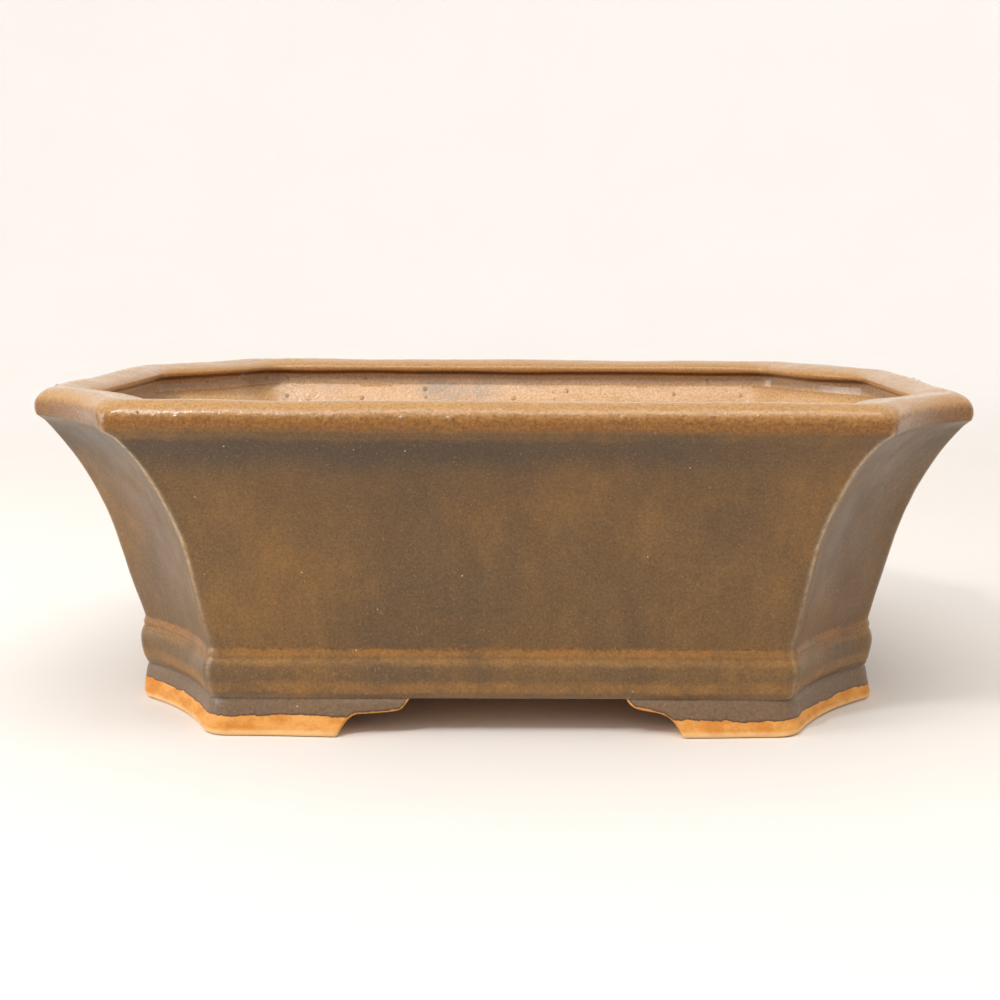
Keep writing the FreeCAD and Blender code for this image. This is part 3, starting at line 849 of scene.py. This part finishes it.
def base_glaze(graph):
    """Satin ochre-brown glaze with cool and warm patches and faint upright streaks."""
    patch = graph.noise(26, 6, 0.62, (1.0, 1.0, 0.7))
    colour = graph.mix(graph.between(patch, 0.30, 0.64), GLAZE_COOL, GLAZE_MID)
    warm = graph.noise(34, 6, 0.65, (1.0, 1.0, 0.8), (0.3, 0.1, 0.5))
    colour = graph.mix(graph.between(warm, 0.44, 0.72, 0.0, 0.75), colour, GLAZE_WARM)
    streak = graph.noise(230, 3, 0.5, (1.0, 1.0, 0.12))
    return graph.shade(colour, graph.between(streak, 0.3, 0.7, 0.93, 1.07))


def add_grey_under_rim(graph, colour, girth):
    """A grey band where the glaze runs thin under the rim, fainter towards the right."""
    place = graph.ragged(girth, 70, 4, 5.0)
    band = graph.hump(place, G_RIM - 13.0, G_RIM - 5.5, G_RIM - 3.0, G_RIM - 1.2)
    fading = graph.between(graph.axis(0), -0.01, 0.09, 1.0, 0.30)
    return graph.tint(colour, graph.maths("MULTIPLY", band, fading), 0.8, GLAZE_GREY)


def add_rim(graph, colour, girth):
    """Ochre on top of the rim, amber low on its roll with rusty grains, and a painted highlight
    along the crest.
    """
    place = graph.ragged(girth, 520, 4, 2.2, 0.7)
    rim = graph.between(place, G_RIM - 0.2, G_RIM + 1.4)
    rim_colour = graph.mix(graph.between(place, G_RIM + 2.0, G_RIM + 6.0), RIM_AMBER, RIM_OCHRE)
    colour = graph.tint(colour, rim, 0.9, rim_colour)
    grains = graph.between(graph.noise(1300, 3, 0.7, (1, 1, 1), (0.6, 0.1, 0.3)), 0.42, 0.62)
    amber_zone = graph.hump(place, G_RIM + 0.2, G_RIM + 1.0, G_RIM + 3.0, G_RIM + 5.0)
    colour = graph.tint(colour, graph.maths("MULTIPLY", amber_zone, grains), 0.6, RIM_RUST)
    # painted highlight: a pale line along the crest stands in for the light it catches
    crest = graph.hump(girth, G_CREST - 0.7, G_CREST - 0.3, G_CREST + 0.2, G_CREST + 0.7)
    return graph.tint(colour, crest, 0.55, PAINTED_HIGHLIGHT_PALE)


def add_inside(graph, colour, girth):
    """Ochre with grey-blue clouds, a grey haze at the top and a painted shadow line under the lip.
    """
    inside = graph.between(girth, G_LIP - 5.2, G_LIP - 4.2)
    cloud_noise = graph.noise(48, 5, 0.6, (1, 1, 1), (0.9, 0.2, 0.4))
    cloud = graph.between(cloud_noise, 0.50, 0.70, 0.0, 0.8)
    colour = graph.mix(inside, colour, graph.mix(cloud, INNER_OCHRE, INNER_GREY))
    place = graph.ragged(girth, 520, 4, 2.2, 0.7)
    haze = graph.hump(place, G_LIP - 4.0, G_LIP - 3.2, G_LIP - 1.4, G_LIP + 0.4)
    colour = graph.tint(colour, haze, 0.7, INNER_GREY)
    # painted shadow: a dark line where the lip overhangs the inner wall
    lip_shadow_mask = graph.hump(girth, G_LIP - 6.2, G_LIP - 5.2, G_LIP - 3.9, G_LIP - 2.8)
    return graph.tint(colour, lip_shadow_mask, 0.85, PAINTED_LIP_SHADOW)


def add_band(graph, colour, girth):
    """An orange line on top of the band, ochre on the bulge and, as a painted highlight, in the
    groove, and a grey line below.
    """
    place = graph.ragged(girth, 260, 4, 2.2)
    wear_and_sheen_patches = graph.between(graph.noise(90, 5, 0.7, (1, 1, 1), (0.1, 0.7, 0.2)), 0.36, 0.62, 0.25, 0.8)
    top_line = graph.hump(place, G_BAND - 2.6, G_BAND - 1.4, G_BAND - 0.2, G_BAND + 0.9)
    colour = graph.tint(colour, top_line, wear_and_sheen_patches, BAND_ORANGE)
    dark_line = graph.hump(place, G_BAND - 0.6, G_BAND - 0.1, G_BAND + 0.2, G_BAND + 0.9)
    grains = graph.between(graph.noise(700, 3, 0.7), 0.46, 0.62, 0.0, 0.7)
    colour = graph.tint(colour, dark_line, grains, RIM_RUST)
    bulge = graph.hump(place, 0.8, 1.9, 3.2, 5.0)
    # painted highlight: lighter ochre in the groove where the band's rounding catches light
    groove = graph.hump(place, G_BAND - 4.6, G_BAND - 3.2, G_BAND - 2.4, G_BAND - 1.4)
    wear_and_sheen = graph.maths("MULTIPLY", wear_and_sheen_patches, 0.75)
    colour = graph.tint(colour, graph.maths("MAXIMUM", bulge, groove), wear_and_sheen, BAND_OCHRE)
    low = graph.between(place, -0.2, 1.8, 1.0, 0.0)
    return graph.tint(colour, low, 0.75, FOOT_GREY)


def add_tan_and_lit_panel(graph, colour, girth):
    """The corner panel on the front left, painted lighter: partly fired lighter, partly painted
    light falling from the left.
    """
    left = graph.between(graph.axis(0), -0.112, -0.078, 1.0, 0.0)
    front = graph.between(graph.axis(1), -0.075, -0.035, 1.0, 0.0)
    outside = graph.between(girth, G_RIM - 1.0, G_RIM + 1.0, 1.0, 0.0)
    panel = graph.maths("MULTIPLY", graph.maths("MULTIPLY", left, front), outside)
    # painted light: part of this tint stands in for light falling on the left panel
    return graph.tint(colour, panel, 0.45, PANEL_TAN_AND_LIT)


def add_painted_nose_highlights(graph, colour, girth):
    """Pale broken lines painted along the noses as their highlights, strongest high on the wall."""
    line = graph.maths("POWER", graph.attribute("nose"), 1.6)
    upper = graph.between(girth, G_BAND + 4.0, G_BAND + 30.0, 0.3, 1.0)
    broken = graph.between(graph.noise(500, 3), 0.3, 0.6, 0.35, 1.0)
    below_rim = graph.between(girth, G_RIM - 0.5, G_RIM + 2.0, 1.0, 0.25)
    for share in (upper, broken, below_rim):
        line = graph.maths("MULTIPLY", line, share)
    # painted highlight: the pale tint stands in for the light caught by each nose
    return graph.tint(colour, line, 0.7, PAINTED_HIGHLIGHT_PALE)


PINHOLES = {"scale": 420, "size": 0.13, "rarity": 0.86}


def add_specks(graph, colour):
    """Fine speckle, rusty flecks, ochre glints, dark pinholes and a few pale specks."""
    speckle = graph.noise(1500, 4, 0.75)
    colour = graph.shade(colour, graph.between(speckle, 0.28, 0.72, 0.74, 1.26))
    flecks = graph.between(graph.noise(2600, 2, 0.5, (1, 1, 0.7)), 0.60, 0.70, 0.0, 0.35)
    colour = graph.mix(flecks, colour, RIM_RUST)
    glints = graph.between(graph.noise(2300, 2, 0.5, (1, 1, 0.7), (0.2, 0.4, 0.6)), 0.62, 0.72)
    colour = graph.tint(colour, glints, 0.30, RIM_OCHRE)
    colour = graph.mix(graph.spots(**PINHOLES), colour, PINHOLE_DARK)
    return graph.mix(graph.spots(360, 0.10, 0.90, (0.2, 0.3, 0.1)), colour, SPECK_PALE)


def glaze_colour(graph, girth):
    """The glaze all over: its base, then its zones from the rim down, then what breaks it up."""
    colour = base_glaze(graph)
    for add_zone in (add_grey_under_rim, add_rim, add_inside, add_band, add_tan_and_lit_panel,
                     add_painted_nose_highlights):
        colour = add_zone(graph, colour, girth)
    return add_specks(graph, colour)


INNER_GLAZE_DEPTH = 27.0  # how far down the inside the glaze runs, along the wall


def below_glaze_line(graph, girth):
    """Above 0 where the clay is bare: low on the feet, and deep inside the pot."""
    on_feet = graph.ragged(graph.attribute("bare"), 230, 3, 1.6)
    on_feet = graph.ragged(on_feet, 1100, 2, 0.5)
    run_out = graph.maths("SUBTRACT", girth, G_LIP + INNER_GLAZE_DEPTH)
    return graph.maths("MAXIMUM", on_feet, graph.ragged(run_out, 40, 4, 16.0))


def glaze_relief(graph, girth):
    """Orange peel, slow ripples and pinholes in the glaze, and pimples on the inside."""
    relief = graph.maths("ADD", graph.noise(900, 3, 0.6),
                         graph.maths("MULTIPLY", graph.noise(130, 3, 0.5), 2.0))
    pits = graph.maths("MULTIPLY", graph.spots(**PINHOLES), -0.8)
    inside = graph.between(girth, G_LIP - 4.0, G_LIP - 2.0, 0.0, 6.0)
    pimples = graph.maths("MULTIPLY", graph.spots(300, 0.26, 0.62, (0.4, 0.0, 0.2)), inside)
    return graph.maths("ADD", relief, graph.maths("ADD", pits, pimples))


def make_glaze():
    """Glaze over stoneware: it stops at wavy lines with a thin dark edge, with bare clay beyond."""
    graph = Graph("ochre_glaze_fired")
    girth = graph.attribute("girth")
    line = below_glaze_line(graph, girth)
    edge = graph.hump(line, -0.55, -0.2, 0.0, 0.06)
    is_bare = graph.between(line, -0.03, 0.06)
    colour = graph.tint(glaze_colour(graph, girth), edge, 0.8, GLAZE_EDGE)
    colour = graph.mix(is_bare, colour, clay_colour(graph))
    graph.connect(colour, graph.shader.inputs["Base Color"])

    patchy = graph.between(graph.noise(90, 4), 0.3, 0.7, 0.30, 0.44)
    rim_gloss = graph.between(girth, G_RIM, G_RIM + 2.0, 0.0, 0.16)
    rough = graph.maths("SUBTRACT", patchy, rim_gloss)
    rough = graph.maths("ADD", rough, graph.maths("MULTIPLY", is_bare, 0.45), clamp=True)
    graph.connect(rough, graph.shader.inputs["Roughness"])
    graph.shader.inputs["Specular IOR Level"].default_value = 0.42
    graph.bump(glaze_relief(graph, girth), 0.00012, 0.8)
    return graph.material


def make_clay():
    """Dry bare stoneware."""
    graph = Graph("bare_stoneware")
    graph.connect(clay_colour(graph), graph.shader.inputs["Base Color"])
    graph.shader.inputs["Roughness"].default_value = 0.85
    grain = graph.maths("ADD", graph.noise(1400, 4, 0.7), graph.noise(180, 4))
    graph.bump(grain, 0.00025, 0.7)
    return graph.material


glaze = make_glaze()
clay = make_clay()
for piece in body_pieces + feet:
    piece.data.materials.append(glaze)
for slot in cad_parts["floor_slab"].material_slots:
    slot.material = clay


# ---------------------------------------------------------------- studio

def make_paper():
    """Pale paper, painted a little darker near the pot as painted shade, and made to glow slightly
    far away from it as painted light.
    """
    graph = Graph("studio_paper")
    mottle = graph.between(graph.noise(6, 3), 0.3, 0.7)
    far_paper = graph.mix(mottle, (0.85, 0.825, 0.80), (0.865, 0.84, 0.815))
    # painted shade: the paper is darker near the pot
    near_paper = graph.mix(mottle, (0.775, 0.735, 0.695), (0.79, 0.75, 0.71))
    across = graph.maths("MULTIPLY", graph.axis(0), graph.axis(0))
    away = graph.maths("MULTIPLY", graph.axis(1), graph.axis(1))
    distance = graph.maths("SQRT", graph.maths("ADD", across, away))
    graph.connect(graph.mix(graph.between(distance, 0.3, 1.0), near_paper, far_paper),
                  graph.shader.inputs["Base Color"])
    graph.shader.inputs["Roughness"].default_value = 0.9
    graph.shader.inputs["Specular IOR Level"].default_value = 0.2
    # painted light: the paper glows, more the farther it lies from the pot
    graph.shader.inputs["Emission Color"].default_value = (1.0, 0.975, 0.95, 1.0)
    graph.connect(graph.between(distance, 0.35, 1.4, 0.0, 0.15),
                  graph.shader.inputs["Emission Strength"])
    return graph.material


def make_backdrop():
    """A round pale floor that curves up into a wall all the way round, in metres."""
    clear_radius = 0.3
    flat_radius = 1.3
    cove_radius = 0.9
    cove_steps = 12
    wall_height = 2.6
    sectors = 96
    rings = [(0.0, 0.0), (clear_radius, 0.0), (flat_radius, 0.0)]
    for step in range(1, cove_steps + 1):
        angle = math.radians(90) * step / cove_steps
        rings.append((flat_radius + cove_radius * math.sin(angle),
                      cove_radius * (1 - math.cos(angle))))
    rings.append((flat_radius + cove_radius, wall_height))
    vertices = [(0.0, 0.0, 0.0)]
    for radius, height in rings[1:]:
        for sector in range(sectors):
            angle = 2 * math.pi * sector / sectors
            vertices.append((radius * math.cos(angle), radius * math.sin(angle), height))
    faces = []
    for sector in range(sectors):
        faces.append((0, 1 + sector, 1 + (sector + 1) % sectors))
    for ring in range(len(rings) - 2):
        base = 1 + ring * sectors
        for sector in range(sectors):
            following = (sector + 1) % sectors
            faces.append((base + sector, base + sectors + sector,
                          base + sectors + following, base + following))
    mesh = bpy.data.meshes.new("studio_floor")
    mesh.from_pydata(vertices, [], faces)
    for polygon in mesh.polygons:
        polygon.use_smooth = True
    backdrop = bpy.data.objects.new("studio_floor", mesh)
    bpy.context.scene.collection.objects.link(backdrop)
    mesh.materials.append(make_paper())


def add_softbox(name, position, size, power):
    """A rectangular soft light aimed at the front of the pot; metres and watts."""
    target = Vector((-0.02, -0.03, 0.05))
    data = bpy.data.lights.new(name, "AREA")
    data.shape = "RECTANGLE"
    data.size, data.size_y = size
    data.energy = power
    lamp = bpy.data.objects.new(name, data)
    lamp.location = position
    lamp.rotation_euler = (target - Vector(position)).to_track_quat("-Z", "Y").to_euler()
    bpy.context.scene.collection.objects.link(lamp)


def make_lights():
    """Plain white surroundings, a small key light for the rim, and two large soft ones."""
    world = bpy.data.worlds.new("studio")
    world.use_nodes = True
    background = world.node_tree.nodes["Background"]
    background.inputs["Color"].default_value = (1.0, 0.985, 0.965, 1.0)
    background.inputs["Strength"].default_value = 0.80
    bpy.context.scene.world = world
    add_softbox("key", (-0.40, -0.62, 0.90), (0.10, 0.14), 3.4)
    add_softbox("overhead", (0.10, -0.42, 1.05), (0.9, 0.35), 4.5)
    add_softbox("left", (-0.95, -0.30, 0.40), (0.5, 0.5), 4.5)


def make_camera():
    """The photograph's viewpoint: slightly above the rim, close, a little right of the middle."""
    data = bpy.data.cameras.new("camera")
    data.sensor_width = 36.0
    data.lens = 52.2
    data.shift_x = -0.04
    data.clip_start = 0.02
    data.clip_end = 20.0
    camera = bpy.data.objects.new("camera", data)
    camera.location = (0.0127, -0.3815, 0.1076)
    camera.rotation_euler = (math.radians(80.92), 0.0, math.radians(0.64))
    bpy.context.scene.collection.objects.link(camera)
    bpy.context.scene.camera = camera


make_backdrop()
make_lights()
make_camera()
bpy.context.scene.view_settings.view_transform = "Standard"
